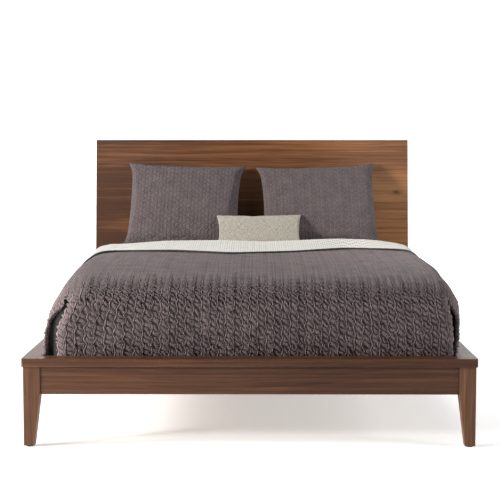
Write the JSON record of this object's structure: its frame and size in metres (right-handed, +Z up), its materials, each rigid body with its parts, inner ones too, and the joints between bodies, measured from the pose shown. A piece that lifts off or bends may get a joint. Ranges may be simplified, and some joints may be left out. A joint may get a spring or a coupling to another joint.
{
  "type": "platform bed",
  "caption": "Low queen-size walnut platform bed with a raked plank headboard, flat mitred ledge and tapered legs, made up with a quilt, shams and a lumbar pillow.",
  "frame": {"origin": "on the floor, under the centre of the whole bed's bounding box", "axes": "+Z up, +Y towards the headboard, -Y towards the foot, +X to the right as seen from the foot"},
  "size_m": [1.676, 2.2344, 1.1428],
  "materials": {
    "headboard_walnut": "satin oiled walnut, glued horizontal planks",
    "frame_walnut": "satin oiled walnut",
    "support_wood": "plain sanded softwood",
    "hardware_steel": "zinc plated",
    "glide_plastic": "matte dark nylon",
    "mattress_cover": "white fitted sheet",
    "quilt_fabric": "matelasse quilting, mauve grey face and white reverse",
    "sham_fabric": "matelasse quilting, mauve grey",
    "lumbar_linen": "plain beige linen weave"
  },
  "bodies": {
    "frame": {"headboard_panel": "headboard_walnut", "rear_post_left": "frame_walnut", "rear_post_right": "frame_walnut", "front_leg_left": "frame_walnut", "front_leg_right": "frame_walnut", "foot_apron": "frame_walnut", "side_apron_left": "frame_walnut", "side_apron_right": "frame_walnut", "ledge_foot": "frame_walnut", "ledge_left": "frame_walnut", "ledge_right": "frame_walnut", "head_rail": "support_wood", "centre_beam": "support_wood", "corner_block_left": "support_wood", "corner_block_right": "support_wood", "slat_cleat_left": "support_wood", "slat_cleat_right": "support_wood", "centre_leg_middle": "support_wood", "centre_leg_head": "support_wood", "slat_01": "support_wood", "slat_02": "support_wood", "slat_03": "support_wood", "slat_04": "support_wood", "slat_05": "support_wood", "slat_06": "support_wood", "slat_07": "support_wood", "slat_08": "support_wood", "slat_09": "support_wood", "slat_10": "support_wood", "slat_11": "support_wood", "slat_12": "support_wood", "slat_13": "support_wood", "head_bracket_left": "hardware_steel", "head_bracket_right": "hardware_steel", "bed_bolt_left_lower": "hardware_steel", "bed_bolt_left_upper": "hardware_steel", "bed_bolt_right_lower": "hardware_steel", "bed_bolt_right_upper": "hardware_steel", "glide_centre_middle": "glide_plastic", "glide_centre_head": "glide_plastic", "glide_front_left": "glide_plastic", "glide_rear_left": "glide_plastic", "glide_front_right": "glide_plastic", "glide_rear_right": "glide_plastic"},
    "mattress": {"mattress": "mattress_cover"},
    "quilt": {"quilt": "quilt_fabric"},
    "sham_left": {"sham_left": "sham_fabric"},
    "sham_right": {"sham_right": "sham_fabric"},
    "lumbar_pillow": {"lumbar_pillow": "lumbar_linen"}
  },
  "joints": [
    {"name": "mattress_lift", "type": "slide", "parent": "frame", "child": "mattress", "axis": [0, 0, 1], "range_m": [0, 0.3]},
    {"name": "quilt_lift", "type": "slide", "parent": "mattress", "child": "quilt", "axis": [0, 0, 1], "range_m": [0, 0.35]},
    {"name": "sham_left_slide", "type": "slide", "parent": "quilt", "child": "sham_left", "axis": [-1, 0, 0], "range_m": [0, 0.06]},
    {"name": "sham_right_slide", "type": "slide", "parent": "quilt", "child": "sham_right", "axis": [1, 0, 0], "range_m": [0, 0.06]},
    {"name": "lumbar_lift", "type": "slide", "parent": "quilt", "child": "lumbar_pillow", "axis": [0, 0, 1], "range_m": [0, 0.25]}
  ]
}
